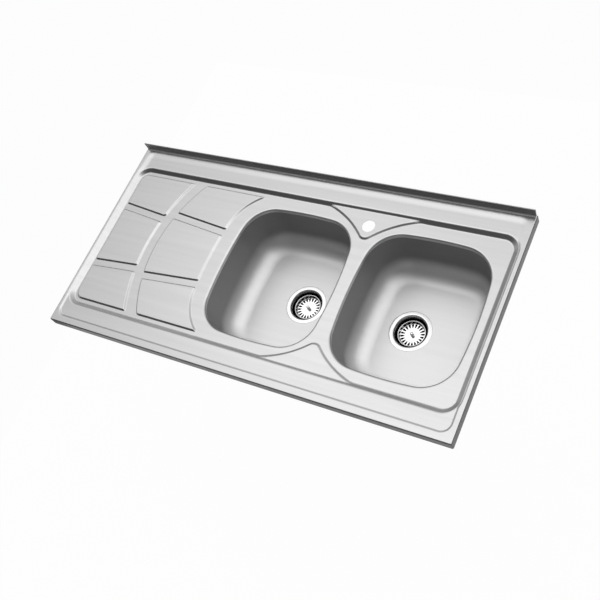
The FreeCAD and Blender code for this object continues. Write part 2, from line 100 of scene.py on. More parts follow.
panel_rise = 3.2
panel_run = 4.0
panel_bend = 0.3
panel_corner = 5.0
panel_outer_corner = 24.0
right_edge_ease = 0.6
front_edge_ease = 0.7
panel_left_margin = 3.0
panel_front_margin = 8.5
panel_back_margin = 7.5
panel_x0 = tray_x[0] + tray_run + panel_left_margin
panel_y0 = tray_y[0] + tray_run + panel_front_margin
panel_y1 = tray_y[1] - tray_run - panel_back_margin
column_gap = ((-425.0, 510.0), (-400.0, 410.0))
field_end = (-209.0, 900.0)
flare_run = 112.0
flare = 73.0
row_gap = 17.0
flat_edge = 1.5
back_rows = ((-501.0, 90.5), (-304.5, 92.0), -0.107)
front_rows = ((-501.0, -92.0), (-304.5, -93.0), 0.083)


def press_curve(t, bend=0.24):
    """Share of the fall at share t of a pressed step's run: two soft bends with a straight between them."""
    t = np.clip(t, 0.0, 1.0)
    low = t ** 2 / (2 * bend * (1 - bend))
    high = 1 - (1 - t) ** 2 / (2 * bend * (1 - bend))
    straight = (t - bend / 2) / (1 - bend)
    return np.where(t < bend, low, np.where(t > 1 - bend, high, straight))


def box_depth(x, y, xs, ys, corner):
    """How far a point lies inside a rounded rectangle, in millimetres."""
    qx = np.abs(x - sum(xs) / 2) - (xs[1] - xs[0]) / 2 + corner
    qy = np.abs(y - sum(ys) / 2) - (ys[1] - ys[0]) / 2 + corner
    outside = np.hypot(np.maximum(qx, 0), np.maximum(qy, 0))
    return corner - outside - np.minimum(np.maximum(qx, qy), 0)


def round_both(a, b, radius):
    """Depth inside two edges at once, with their corner rounded."""
    cut = radius - np.hypot(np.maximum(radius - a, 0), np.maximum(radius - b, 0))
    return np.where((a < radius) | (b < radius), cut, np.minimum(a, b))


def outside_arc(x, y, vertex, radius):
    """Depth to the left of an arc that bulges to the left, with its vertex at the given X."""
    return np.hypot(x - vertex - radius, y - bowl_y) - radius


def flared_end(x, y):
    """Depth to the left of the drainer field's end, which flares out at the front and the back."""
    vertex, radius = field_end
    depth = outside_arc(x, y, vertex, radius)
    for side, edge in ((-1, panel_y0), (1, panel_y1)):
        start_y = edge - side * flare_run
        start_x = vertex + radius - math.sqrt(radius ** 2 - (start_y - bowl_y) ** 2)
        centre = np.array([vertex + radius, bowl_y])
        start = np.array([start_x, start_y])
        inward = (centre - start) / np.linalg.norm(centre - start)
        chord = np.array([start_x + flare, edge]) - start
        small = chord @ chord / (2 * chord @ inward)
        cx, cy = start + small * inward
        beyond = side * (y - start_y) > 0
        depth = np.where(beyond, np.hypot(x - cx, y - cy) - small, depth)
    return depth


def panel_depth(x, y, column, row):
    """Depth inside one of the six raised drainer panels."""
    def row_line(rows, side):
        (mx, my), slope = rows[column], rows[2]
        return side * (y - my - slope * (x - mx)) / math.hypot(1, slope) - row_gap / 2

    low = y - panel_y0 if row == 0 else row_line(front_rows if row == 1 else back_rows, 1)
    low = low * front_edge_ease
    high = panel_y1 - y if row == 2 else row_line(back_rows if row == 1 else front_rows, -1)
    if column == 0:
        left = x - panel_x0
        right = np.where(x < field_end[0], outside_arc(x, y, *column_gap[0]) * right_edge_ease, -flare)
    else:
        left = -outside_arc(x, y, *column_gap[1])
        right = np.where(x < field_end[0] + flare + flat_edge, flared_end(x, y) * right_edge_ease, -flare)
    low_left = round_both(left, low, panel_outer_corner if (column, row) == (0, 0) else panel_corner)
    high_left = round_both(left, high, panel_outer_corner if (column, row) == (0, 2) else panel_corner)
    low_right = round_both(right, low, panel_corner)
    high_right = round_both(right, high, panel_corner)
    return np.minimum(np.minimum(low_left, high_left), np.minimum(low_right, high_right))


def landing_depth(x, y, side):
    """Depth inside the raised landing at the back (side 1) or front (side -1), open at the tray wall."""
    wall = tray_y[1] - tray_run if side > 0 else -(tray_y[0] + tray_run)
    nose = np.array([divider_x, bowl_y + side * landing_nose])
    depths = []
    for hand in (-1, 1):
        end = np.array([divider_x + hand * landing_half_width, side * wall])
        middle = (end + nose) / 2
        half = np.linalg.norm(end - nose) / 2
        across = np.array([nose[1] - end[1], end[0] - nose[0]])
        across = across / np.linalg.norm(across)
        outward = across if across[1] * side > 0 else -across
        radius = (half ** 2 + landing_bulge ** 2) / (2 * landing_bulge)
        centre = middle + outward * (landing_bulge - radius)
        depths.append(np.hypot(x - centre[0], y - centre[1]) - radius)
    depth = round_both(depths[0], depths[1], landing_nose_radius)
    near = (np.abs(x - divider_x) < landing_half_width) & (side * (y - bowl_y) > landing_nose / 2)
    return np.where(near, depth, -1.0)


def soft_top(a, b, blend):
    """The higher of two surfaces, with the inner corner between them filled by a small radius."""
    k = np.maximum(blend - np.abs(a - b), 0) / blend
    return np.maximum(a, b) + k * k * blend / 4


def pressed_height(x, y):
    """Height of the sheet's upper face at any point between the bowls and the edge rolls."""
    # The step along the back is longer, and blends into the side steps ahead of the corners
    near_back = np.clip(3 + (y - deck_y[1]) / deck_corner, 0, 1)
    run = deck_run + (deck_back_run - deck_run) * near_back
    deck_depth = box_depth(x, y, deck_x, deck_y, deck_corner)
    deck = border_z - deck_drop * press_curve(deck_depth / run, deck_bend)
    depth = box_depth(x, y, tray_x, tray_y, tray_corner)
    above = deck_z - depth * deck_drop / tray_rim
    tray = np.where(depth < 0, above, deck_z - tray_drop * press_curve(depth / tray_run))
    z = -soft_top(-deck, -tray, tray_rim_blend)
    for column in (0, 1):
        for row in (0, 1, 2):
            rise = panel_rise * press_curve(panel_depth(x, y, column, row) / panel_run, panel_bend)
            z = np.maximum(z, tray_z + rise)
    for side in (1, -1):
        rise = landing_rise * press_curve(landing_depth(x, y, side) / landing_run)
        fillet = np.clip(np.minimum(rise, z - tray_z), 0.01, landing_fillet)
        z = soft_top(z, tray_z + rise, fillet)
    return z


def box_loop(xs, ys, corner, turns=12):
    """Points of a rounded rectangle, counterclockwise."""
    points = []
    places = ((xs[1], ys[0], -90), (xs[1], ys[1], 0), (xs[0], ys[1], 90), (xs[0], ys[0], 180))
    for cx, cy, start in places:
        mx = cx - corner if cx == xs[1] else cx + corner
        my = cy - corner if cy == ys[1] else cy + corner
        for t in map(math.radians, np.linspace(start, start + 90, turns + 1)):
            points.append((mx + corner * math.cos(t), my + corner * math.sin(t)))
    return np.array(points)


def divided(loop, longest=20.0):
    """The same loop with its long straight runs divided into short steps."""
    points = []
    for a, b in zip(loop, np.roll(loop, -1, 0)):
        count = max(1, math.ceil(np.hypot(*(b - a)) / longest))
        points.extend(a + (b - a) * k / count for k in range(count))
    return np.array(points)


def bowl_loop(centre_x, outset):
    """Points of the bowl's bowed outline, moved outwards by outset, counterclockwise."""
    a, b = bowl_half_width + outset, bowl_half_length + outset
    side, corner = bowl_side + outset, bowl_corner + outset
    px, py = a - side, b - side
    gap = math.hypot(px, py)
    reach = side - corner
    climb = math.sqrt(reach ** 2 - (gap / 2) ** 2)
    cx = px / 2 - climb * py / gap
    cy = py / 2 - climb * px / gap
    turn_x = math.atan2(cy, cx - px)
    turn_y = math.atan2(cy - py, cx)

    def arc(x, y, radius, start, end, count):
        turns = np.linspace(start, end, count)[:-1]
        return [(x + radius * math.cos(t), y + radius * math.sin(t)) for t in turns]

    quarter = arc(px, 0, side, 0, turn_x, 9) + arc(cx, cy, corner, turn_x, turn_y, 25)
    quarter = np.array(quarter + arc(0, py, side, turn_y, math.pi / 2, 9))
    flipped = [quarter]
    for sx, sy in ((-1, 1), (-1, -1), (1, -1)):
        mirrored = quarter[::-1] * (sx, sy) if sx * sy < 0 else quarter * (sx, sy)
        if sx * sy < 0:
            mirrored = np.vstack([[[0, sy * b]], mirrored[:-1]])
        flipped.append(mirrored)
    return np.vstack(flipped) + (centre_x, bowl_y)


def contour(depth_at, level, centre, turns, longest=260.0, halvings=40):
    """Closed loop where a depth reaches a level, found along rays from a point inside."""
    ux, uy = np.cos(turns), np.sin(turns)
    near, far = np.zeros_like(turns), np.full_like(turns, longest)
    for _ in range(halvings):
        half = (near + far) / 2
        inside = depth_at(centre[0] + half * ux, centre[1] + half * uy) > level
        near, far = np.where(inside, half, near), np.where(inside, far, half)
    return np.column_stack([centre[0] + near * ux, centre[1] + near * uy])


def fine_turns(loop, centre, sharp_bend=0.06, even_rays=72):
    """Ray directions, close together where a loop bends sharply."""
    steps = np.roll(loop, -1, 0) - loop
    ways = np.arctan2(steps[:, 1], steps[:, 0])
    bends = np.abs((np.roll(ways, -1) - ways + np.pi) % (2 * np.pi) - np.pi)
    spots = np.roll(loop, -1, 0)[bends > sharp_bend] - centre
    sharp = np.arctan2(spots[:, 1], spots[:, 0])
    evenly = np.linspace(-np.pi, np.pi, even_rays, endpoint=False)
    return np.unique(np.round(np.concatenate([evenly, sharp]), 4))


def step_loops(depth_at, centre, levels, dense_rays=1440):
    """Loops along a raised field's edge, one for each level, with more points where the edge bends."""
    dense = contour(depth_at, 0.0, centre, np.linspace(-np.pi, np.pi, dense_rays, endpoint=False))
    turns = fine_turns(dense, centre)
    return [contour(depth_at, level, centre, turns) for level in levels]


def inside_loop(points, loop):
    """True for the points that a closed loop surrounds."""
    x, y = points[:, 0][:, None], points[:, 1][:, None]
    ax, ay = loop[:, 0], loop[:, 1]
    bx, by = np.roll(ax, -1), np.roll(ay, -1)
    spans = (ay > y) != (by > y)
    crossing = x < (bx - ax) * (y - ay) / np.where(by == ay, 1e-12, by - ay) + ax
    return (spans & crossing).sum(1) % 2 == 1


def triangulated(loops, outline, holes, tolerance=1e-3):
    """Points and triangles on flat loops, inside the outline and outside the holes."""
    points, edges = [], []
    for loop in loops:
        start = len(points)
        points.extend(Vector(p) for p in loop)
        edges.extend((start + i, start + (i + 1) % len(loop)) for i in range(len(loop)))
    verts, _, triangles, _, _, _ = delaunay_2d_cdt(points, edges, [], 0, tolerance)
    places = np.array([v[:] for v in verts])
    middles = np.array([places[list(t)].mean(0) for t in triangles])
    keep = inside_loop(middles, outline)
    for hole in holes:
        keep &= ~inside_loop(middles, hole)
    return places, [tuple(t) for t, k in zip(triangles, keep) if k]


def applied(body):
    """The mesh that an object's modifiers make of it."""
    graph = bpy.context.evaluated_depsgraph_get()
    return bpy.data.meshes.new_from_object(body.evaluated_get(graph))


class Sheet:
    """Collects the faces of one thin steel sheet, in millimetres."""

    def __init__(self):
        self.points, self.faces = [], []

    def add(self, points):
        """Adds points and gives back their numbers."""
        start = len(self.points)
        self.points.extend([tuple(map(float, p)) for p in points])
        return list(range(start, start + len(points)))

    def level(self, loop, z):
        """A loop of points at one height."""
        return self.add(np.column_stack([loop, np.full(len(loop), z)]))

    def fill(self, places, heights, triangles):
        """Triangles on flat places that are lifted to their heights."""
        indices = self.add(np.column_stack([places, heights]))
        self.faces.extend(tuple(indices[i] for i in t) for t in triangles)

    def strips(self, rows, closed):
        """Quads between rows of equally many points."""
        for a, b in zip(rows, rows[1:]):
            last = len(a) if closed else len(a) - 1
            for i in range(last):
                j = (i + 1) % len(a)
                self.faces.append((a[i], a[j], b[j], b[i]))

    def piece(self, name, thickness, sharp=40.0, weld=0.02):
        """Welds the seams, turns the faces outwards, gives the sheet its thickness and smooths it."""
        mesh = bpy.data.meshes.new(name)
        bm = bmesh.new()
        verts = [bm.verts.new(Vector(p) * mm) for p in self.points]
        for face in self.faces:
            if len(set(face)) > 2:
                try:
                    bm.faces.new([verts[i] for i in dict.fromkeys(face)])
                except ValueError:
                    pass
        loose = [v for v in bm.verts if not v.link_faces]
        bmesh.ops.delete(bm, geom=loose, context="VERTS")
        bmesh.ops.remove_doubles(bm, verts=bm.verts, dist=weld * mm)
        bmesh.ops.recalc_face_normals(bm, faces=bm.faces)
        upward = sum(f.normal.z * f.calc_area() for f in bm.faces)
        if thickness and upward < 0:
            bmesh.ops.reverse_faces(bm, faces=bm.faces)
        bm.to_mesh(mesh)
        bm.free()
        body = bpy.data.objects.new(name, mesh)
        bpy.context.scene.collection.objects.link(body)
        mesh.shade_smooth()
        if thickness:
            wall = body.modifiers.new("wall", "SOLIDIFY")
            wall.thickness = thickness * mm
            wall.offset = -1.0
        finished = applied(body)
        body.modifiers.clear()
        body.data = finished
        finished.set_sharp_from_angle(angle=math.radians(sharp))
        flat = body.modifiers.new("flat faces keep flat", "WEIGHTED_NORMAL")
        flat.keep_sharp = True
        finished = applied(body)
        body.modifiers.clear()
        body.data = finished
        finished.name = name
        return body


# Loops that the sheet bends along, triangulated together
top = Sheet()
land_x = half_length - edge_roll
land_front = -half_depth + edge_roll
land_back = half_depth - upstand_thickness - upstand_foot
land_edge = box_loop((-land_x, land_x), (land_front, land_back), corner_roll, 6)
back_corners = np.abs(land_edge[:, 1] - land_back) < corner_roll
land_edge = np.vstack([land_edge[~back_corners], [(land_x, land_back), (-land_x, land_back)]])
order = np.argsort(np.arctan2(land_edge[:, 1], land_edge[:, 0] / 2))
land_edge = land_edge[order]
loops = [land_edge]
deck_steps = [-flat_edge, *np.linspace(0, deck_run, 7), *np.linspace(deck_run + flat_edge, deck_back_run, 6)]
for d in deck_steps:
    xs, ys = (deck_x[0] + d, deck_x[1] - d), (deck_y[0] + d, deck_y[1] - d)
    loops.append(divided(box_loop(xs, ys, deck_corner - d)))
tray_steps = [-tray_rim, -tray_rim / 2, *np.linspace(0, tray_run, 13), tray_run + flat_edge]
for d in tray_steps:
    xs, ys = (tray_x[0] + d, tray_x[1] - d), (tray_y[0] + d, tray_y[1] - d)
    loops.append(divided(box_loop(xs, ys, tray_corner - d, 18)))
# A place inside each panel, for its column and row
panel_places = {(0, 0): (-480, -155), (0, 1): (-505, 0), (0, 2): (-480, 150),
                (1, 0): (-290, -160), (1, 1): (-300, 0), (1, 2): (-290, 160)}
panel_levels = [-flat_edge, *np.linspace(0, panel_run, 9), panel_run + flat_edge]
for panel, centre in panel_places.items():
    loops += step_loops(lambda x, y: panel_depth(x, y, *panel), centre, panel_levels)
landing_levels = [*np.linspace(0, landing_run, 8), landing_run + flat_edge]
landing_middle = 40.0
for side in (1, -1):
    wall = tray_y[1] - tray_run / 3 if side > 0 else -(tray_y[0] + tray_run / 3)
    centre = (divider_x, side * (wall - landing_middle))
    loops += step_loops(lambda x, y: np.minimum(landing_depth(x, y, side), wall - side * y),
                        centre, landing_levels)
rims = {side: bowl_loop(x, rim_roll) for side, x in bowl_x.items()}
loops += [bowl_loop(x, rim_roll + flat_edge) for x in bowl_x.values()]
tap_turns = np.linspace(0, 2 * np.pi, 64, endpoint=False)
tap_hole = np.column_stack([divider_x + tap_hole_radius * np.cos(tap_turns),
                            tap_hole_y + tap_hole_radius * np.sin(tap_turns)])
loops += list(rims.values()) + [tap_hole]

places, triangles = triangulated(loops, land_edge, [tap_hole, *rims.values()])
top.fill(places, pressed_height(places[:, 0], places[:, 1]), triangles)

# Rolled rims and collars round the two bowl openings
for x in bowl_x.values():
    rows = []
    for t in np.radians(np.linspace(0, 90, 8)):
        loop = bowl_loop(x, rim_roll - rim_roll * math.sin(t))
        rows.append(top.level(loop, tray_z - rim_roll * (1 - math.cos(t))))
    rows.append(top.level(bowl_loop(x, 0.0), weld_z))
    top.strips(rows, True)

# Edge roll, skirt and turned-in lip along the left, the front and the right
skirt_path = [((-land_x, half_depth), (-1, 0)), ((-land_x, land_back), (-1, 0))]
for start, cx in ((180, -land_x + corner_roll), (270, land_x - corner_roll)):
    for t in np.radians(np.linspace(start, start + 90, 7)):
        way = (math.cos(t), math.sin(t))
        place = (cx + corner_roll * way[0], land_front + corner_roll + corner_roll * way[1])
        skirt_path.append((place, way))
skirt_path += [((land_x, land_back), (1, 0)), ((land_x, half_depth), (1, 0))]
skirt_profile = [(edge_roll * math.sin(t), border_z - edge_roll * (1 - math.cos(t)))
                 for t in np.radians(np.linspace(0, 90, edge_points))]
skirt_profile += [(edge_roll - lip_roll * (1 - math.cos(t)), lip_roll * (1 - math.sin(t)))
                  for t in np.radians(np.linspace(0, 90, 6))]
skirt_profile.append((edge_roll - lip_width, 0.0))
rows = []
for out, z in skirt_profile:
    rows.append(top.add([(p[0] + out * w[0], p[1] + out * w[1], z) for p, w in skirt_path]))
top.strips(rows, False)

# Upstand along the back: a soft foot, a hem folded over at the top, and the back skirt
front = half_depth - upstand_thickness
bend = upstand_thickness / 2
profile = [(front - upstand_foot + upstand_foot * math.sin(t), border_z + upstand_foot * (1 - math.cos(t)))
           for t in np.radians(np.linspace(0, 90, 7))]
profile += [(front + bend - bend * math.cos(t), upstand_top - bend + bend * math.sin(t))
            for t in np.radians(np.linspace(0, 180, 13))]
back_skirt = [(half_depth, border_z - edge_roll)]
back_skirt += [(half_depth - lip_roll * (1 - math.cos(t)), lip_roll * (1 - math.sin(t)))
               for t in np.radians(np.linspace(0, 90, 6))]
back_skirt.append((half_depth - lip_width, 0.0))
rows = [top.add([(-land_x, y, z), (land_x, y, z)]) for y, z in profile + back_skirt]
top.strips(rows, False)
for hand in (-1, 1):
    corner = [(hand * (land_x + out), half_depth, z) for out, z in skirt_profile[:edge_points]]
    top.faces.append(tuple(top.add(corner + [(hand * land_x, half_depth, border_z - edge_roll)])))
    below = [(hand * land_x, half_depth), (hand * half_length, half_depth)]
    rows = [top.add([(x, y, z) for x, y in below]) for z in (border_z - edge_roll, lip_roll)]
    top.strips(rows, False)
sink_top = top.piece("pressed_top", sheet)

# Satin steel, with painted shade on the folded skirt: its colour is darkened to stand in for the dim floor it
# reflects
grain_scale = (12.0, 2600.0, 2600.0)
sheen_scale = (1.6, 60.0, 60.0)
grain_detail = 3.0
grain_strength = 0.02
grain_height = 0.0002
top_rough = (0.24, 0.36)
top_tone = (0.54, 0.64)
skirt_painted_shade_tone = 0.24


def calc(tree, operation, a, b=None):
    """One arithmetic node on sockets or plain numbers."""
    node = tree.nodes.new("ShaderNodeMath")
    node.operation = operation
    for socket, value in zip(node.inputs, (a, b)):
        if isinstance(value, bpy.types.NodeSocket):
            tree.links.new(value, socket)
        elif value is not None:
            socket.default_value = value
    return node.outputs[0]


def ranged(tree, value, low, high, start=0.0, end=1.0, kind="LINEAR"):
    """A value that goes from low to high while the given one goes from start to end."""
    node = tree.nodes.new("ShaderNodeMapRange")
    node.interpolation_type = kind
    for name, level in (("From Min", start), ("From Max", end), ("To Min", low), ("To Max", high)):
        node.inputs[name].default_value = level
    tree.links.new(value, node.inputs["Value"])
    return node.outputs["Result"]


def satin(name, rough, tone):
    """Steel with a fine grain along the front and an uneven sheen, with its tone and place sockets."""
    material = bpy.data.materials.new(name)
    material.use_nodes = True
    tree = material.node_tree
    nodes, links = tree.nodes, tree.links
    shader = nodes["Principled BSDF"]
    shader.inputs["Metallic"].default_value = 1.0
    spot = nodes.new("ShaderNodeTexCoord")
    streaks = []
    for scale in (grain_scale, sheen_scale):
        stretch = nodes.new("ShaderNodeMapping")
        stretch.inputs["Scale"].default_value = scale
        noise = nodes.new("ShaderNodeTexNoise")
        noise.inputs["Scale"].default_value = 1.0
        noise.inputs["Detail"].default_value = grain_detail
        links.new(spot.outputs["Object"], stretch.inputs["Vector"])
        links.new(stretch.outputs["Vector"], noise.inputs["Vector"])
        streaks.append(noise.outputs["Fac"])
    grain, sheen = streaks
    links.new(ranged(tree, grain, *rough), shader.inputs["Roughness"])
    relief = nodes.new("ShaderNodeBump")
    relief.inputs["Strength"].default_value = grain_strength
    relief.inputs["Distance"].default_value = grain_height
    links.new(grain, relief.inputs["Height"])
    links.new(relief.outputs["Normal"], shader.inputs["Normal"])
    place = nodes.new("ShaderNodeSeparateXYZ")
    links.new(spot.outputs["Object"], place.inputs["Vector"])
    return material, ranged(tree, sheen, *tone), place.outputs


satin_steel, tone, place = satin("satin_steel", top_rough, top_tone)
tree = satin_steel.node_tree
# Painted shade: on the end and front skirts the colour is mixed towards a fixed dark tone
end_skirt = calc(tree, "GREATER_THAN", calc(tree, "ABSOLUTE", place["X"]), (half_length - edge_roll / 2) * mm)
front_skirt = calc(tree, "LESS_THAN", place["Y"], -(half_depth - edge_roll / 2) * mm)
skirt_painted_shade = tree.nodes.new("ShaderNodeMix")
skirt_painted_shade.inputs["B"].default_value = skirt_painted_shade_tone
tree.links.new(calc(tree, "MAXIMUM", end_skirt, front_skirt), skirt_painted_shade.inputs["Factor"])
tree.links.new(tone, skirt_painted_shade.inputs["A"])
tree.links.new(skirt_painted_shade.outputs["Result"], tree.nodes["Principled BSDF"].inputs["Base Color"])
sink_top.data.materials.append(satin_steel)
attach(sink_top, "sink")
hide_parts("sink_top")


# Bowls: deep-drawn from the same steel, butt-welded under the collars and ground smooth. The walls lean
# in a little, the floor turns up in a wide radius, and a shallow seat is pressed round the waste hole.
bowl_floor_z = -130.0
bowl_draft = 8.0
floor_radius = 54.0
seat_radius = 56.75
seat_drop = 2.5
seat_run = 0.15
seat_bend = 0.45
waste_hole_radius = 45.0
drain_shift = 34.0
drain_x = {"left": bowl_x["left"] + drain_shift, "right": bowl_x["right"] - drain_shift}

# Painted shade on the bowl walls: above the floor the colour falls to a share of the floor's, standing in for
# the shade inside the bowl
bowl_rough = (0.46, 0.54)
bowl_tone = (0.88, 0.96)
wall_shade_share = 0.3
wall_shade_start = 4.0
wall_shade_end = 62.0
bowl_metallic = 0.75
bowl_satin, tone, place = satin("bowl_satin", bowl_rough, bowl_tone)
tree = bowl_satin.node_tree
# Painted shade: the colour is scaled down with height from the floor's bend up the walls
wall_painted_shade = ranged(tree, place["Z"], 1.0, wall_shade_share, (bowl_floor_z + wall_shade_start) * mm,
                  (bowl_floor_z + wall_shade_end) * mm, "SMOOTHSTEP")
shader = tree.nodes["Principled BSDF"]
tree.links.new(calc(tree, "MULTIPLY", tone, wall_painted_shade), shader.inputs["Base Color"])
shader.inputs["Metallic"].default_value = bowl_metallic
for side, x in bowl_x.items():
    lean = math.atan(bowl_draft / (weld_z - bowl_floor_z))
    bend_start = floor_radius * (1 - math.sin(lean))
    wall_low = bowl_floor_z + bend_start
    inset_low = bowl_draft * (weld_z - wall_low) / (weld_z - bowl_floor_z)
    levels = [(inset_low * t, weld_z + (wall_low - weld_z) * t) for t in np.linspace(0, 1, 7)]
    for t in np.linspace(lean, math.pi / 2, 15)[1:]:
        levels.append((inset_low + floor_radius * (math.cos(lean) - math.cos(t)),
                       bowl_floor_z + floor_radius * (1 - math.sin(t))))
    drawn = Sheet()
    drawn.strips([drawn.level(bowl_loop(x, -inset), z) for inset, z in levels], True)
    floor_edge = bowl_loop(x, -levels[-1][0])
    turns = np.linspace(0, 2 * np.pi, 96, endpoint=False)
    around = np.column_stack([np.cos(turns), np.sin(turns)])
    hole_centre = (drain_x[side], bowl_y)
    seat_edge = around * (seat_radius + seat_run) + hole_centre
    places, triangles = triangulated([floor_edge, seat_edge], floor_edge, [seat_edge])
    drawn.fill(places, np.full(len(places), bowl_floor_z), triangles)
    seat = [(seat_radius + seat_run * (1 - t), bowl_floor_z - seat_drop * press_curve(t, seat_bend))
            for t in np.linspace(0, 1, 10)]
    seat.append((waste_hole_radius, bowl_floor_z - seat_drop))
    drawn.strips([drawn.level(around * r + hole_centre, z) for r, z in seat], True)
    bowl = drawn.piece(side + "_drawn_bowl", sheet)
    bowl.data.materials.append(bowl_satin)
    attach(bowl, "sink")
    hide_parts(side + "_bowl")


# Strainer cups: pressed from polished stainless steel. The flange lies on the bowl's seat over a seal, the
# cup hangs through the waste hole, and one screw through its dimple draws it down on the waste body.
# Profiles are radius and height above the bowl's floor.
flange_profile = [(56.7, -0.9), (56.7, -0.25), (56.6, -0.05), (56.2, 0.1), (55.0, 0.2), (50.0, 0.45),
                  (47.0, 0.4), (45.8, 0.05), (44.9, -0.7), (44.2, -1.9), (43.6, -3.2), (43.0, -4.6)]
cup_floor = -27.0
cup_foot = [(38.7, -25.2), (38.4, -26.1), (37.8, -26.7), (36.8, -27.0)]
cup_dimple = [(7.8, -27.0), (7.2, -27.3), (6.9, -28.0), (6.4, -30.2), (6.1, -30.8), (5.5, -31.0),
              (3.3, -31.0)]
cup_wall = 1.0
outlet_pitch = 13.0
outlet_radius = 4.0
outlet_count = 6
cup_segments = 96
noise_detail = 4.0
noise_span = (0.3, 0.7)
relief_height = 0.0003


def surface(name, dark, light, rough, metallic, scale, relief=0.0):
    """A material whose colour, roughness and fine relief vary with noise over the piece."""
    material = bpy.data.materials.new(name)
    material.use_nodes = True
    tree = material.node_tree
    nodes, links = tree.nodes, tree.links
    shader = nodes["Principled BSDF"]
    shader.inputs["Metallic"].default_value = metallic
    spot = nodes.new("ShaderNodeTexCoord")
    noise = nodes.new("ShaderNodeTexNoise")
    noise.inputs["Scale"].default_value = scale
    noise.inputs["Detail"].default_value = noise_detail
    links.new(spot.outputs["Object"], noise.inputs["Vector"])
    ramp = nodes.new("ShaderNodeValToRGB")
    for element, place, colour in zip(ramp.color_ramp.elements, noise_span, (dark, light)):
        element.position = place
        element.color = (*colour, 1)
    links.new(noise.outputs["Fac"], ramp.inputs["Fac"])
    links.new(ramp.outputs["Color"], shader.inputs["Base Color"])
    links.new(ranged(tree, noise.outputs["Fac"], *rough), shader.inputs["Roughness"])
    if relief:
        bump = nodes.new("ShaderNodeBump")
        bump.inputs["Strength"].default_value = relief
        bump.inputs["Distance"].default_value = relief_height
        links.new(noise.outputs["Fac"], bump.inputs["Height"])
        links.new(bump.outputs["Normal"], shader.inputs["Normal"])
    return material


def turn_profile(sheet_in, profile, centre, segments):
    """Rows of faces made by turning a profile about an upright axis."""
    turns = np.linspace(0, 2 * np.pi, segments, endpoint=False)
    around = np.column_stack([np.cos(turns), np.sin(turns)])
    sheet_in.strips([sheet_in.level(around * r + centre, bowl_floor_z + z) for r, z in profile], True)


def holed_sector(name, inner, outer, height, count, segments, hole):
    """Flat sector between two radii with one hole, so that count of them make a full ring."""
    half = math.pi / count
    turns = np.linspace(-half, half, segments // count + 1)
    outline = [(outer * math.cos(t), outer * math.sin(t)) for t in turns]
    outline += [(inner * math.cos(t), inner * math.sin(t)) for t in turns[::-1]]
    outline, hole = np.array(outline), np.array(hole)
    places, triangles = triangulated([outline, hole], outline, [hole], 1e-4)
    mesh = bpy.data.meshes.new(name)
    mesh.from_pydata([(x * mm, y * mm, height * mm) for x, y in places], [], triangles)
    return mesh


def ring_of(sector, count):
    """Repeats a sector about the upright axis with Geometry Nodes and returns the ring as a plain mesh."""
    tree = bpy.data.node_groups.new(sector.name + "_ring", "GeometryNodeTree")
    tree.interface.new_socket("Sector", in_out="INPUT", socket_type="NodeSocketGeometry")
    count_socket = tree.interface.new_socket("Count", in_out="INPUT", socket_type="NodeSocketInt")
    tree.interface.new_socket("Ring", in_out="OUTPUT", socket_type="NodeSocketGeometry")
    nodes, links = tree.nodes, tree.links
    given = nodes.new("NodeGroupInput")
    result = nodes.new("NodeGroupOutput")
    spots = nodes.new("GeometryNodePoints")
    links.new(given.outputs["Count"], spots.inputs["Count"])
    index = nodes.new("GeometryNodeInputIndex")
    step = calc(tree, "DIVIDE", 2 * math.pi, given.outputs["Count"])
    angles = nodes.new("ShaderNodeCombineXYZ")
    links.new(calc(tree, "MULTIPLY", index.outputs["Index"], step), angles.inputs["Z"])
    copies = nodes.new("GeometryNodeInstanceOnPoints")
    links.new(spots.outputs[0], copies.inputs["Points"])
    links.new(given.outputs["Sector"], copies.inputs["Instance"])
    links.new(angles.outputs["Vector"], copies.inputs["Rotation"])
    real = nodes.new("GeometryNodeRealizeInstances")
    links.new(copies.outputs["Instances"], real.inputs["Geometry"])
    links.new(real.outputs["Geometry"], result.inputs["Ring"])
    holder = bpy.data.objects.new(sector.name, sector)
    bpy.context.scene.collection.objects.link(holder)
    repeat = holder.modifiers.new("ring", "NODES")
    repeat.node_group = tree
    repeat[count_socket.identifier] = count
    ring = applied(holder)
    bpy.data.objects.remove(holder)
    return ring


def add_ring(sheet_in, ring, centre):
    """Adds a plain mesh round an upright axis at the centre to a sheet."""
    indices = sheet_in.add([(v.co.x / mm + centre[0], v.co.y / mm + centre[1], v.co.z / mm)
                            for v in ring.vertices])
    sheet_in.faces.extend(tuple(indices[i] for i in p.vertices) for p in ring.polygons)


polished_steel = surface("polished_steel", (0.74, 0.74, 0.74), (0.82, 0.82, 0.82), (0.10, 0.18), 1.0, 90.0)
# Painted shade inside the cup: below the flange's roll its colour is darkened to stand in for the shade under
# the basket
cup_steel = polished_steel.copy()
cup_steel.name = "cup_steel"
cup_shade_from = -1.2
cup_shade_to = -9.0
cup_shade_shares = (0.05, 0.86)
tree = cup_steel.node_tree
height = tree.nodes.new("ShaderNodeSeparateXYZ")
tree.links.new(tree.nodes["Texture Coordinate"].outputs["Object"], height.inputs["Vector"])
# Painted shade: the colour is scaled from nearly black in the cup up to most of its tone at the roll
unshaded_share = ranged(tree, height.outputs["Z"], *cup_shade_shares, (bowl_floor_z + cup_shade_to) * mm,
                        (bowl_floor_z + cup_shade_from) * mm)
painted_cup_shade = tree.nodes.new("ShaderNodeVectorMath")
painted_cup_shade.operation = "SCALE"
tree.links.new(tree.nodes["Color Ramp"].outputs["Color"], painted_cup_shade.inputs[0])
tree.links.new(unshaded_share, painted_cup_shade.inputs["Scale"])
tree.links.new(painted_cup_shade.outputs["Vector"], tree.nodes["Principled BSDF"].inputs["Base Color"])
hole_turns = np.linspace(0, 2 * np.pi, 24, endpoint=False)
outlet_hole = [(outlet_pitch + outlet_radius * math.cos(t), outlet_radius * math.sin(t))
               for t in hole_turns]
cup_sector = holed_sector("cup_sector", cup_dimple[0][0], cup_foot[-1][0], bowl_floor_z + cup_floor,
                          outlet_count, cup_segments, outlet_hole)
cup_ring = ring_of(cup_sector, outlet_count)
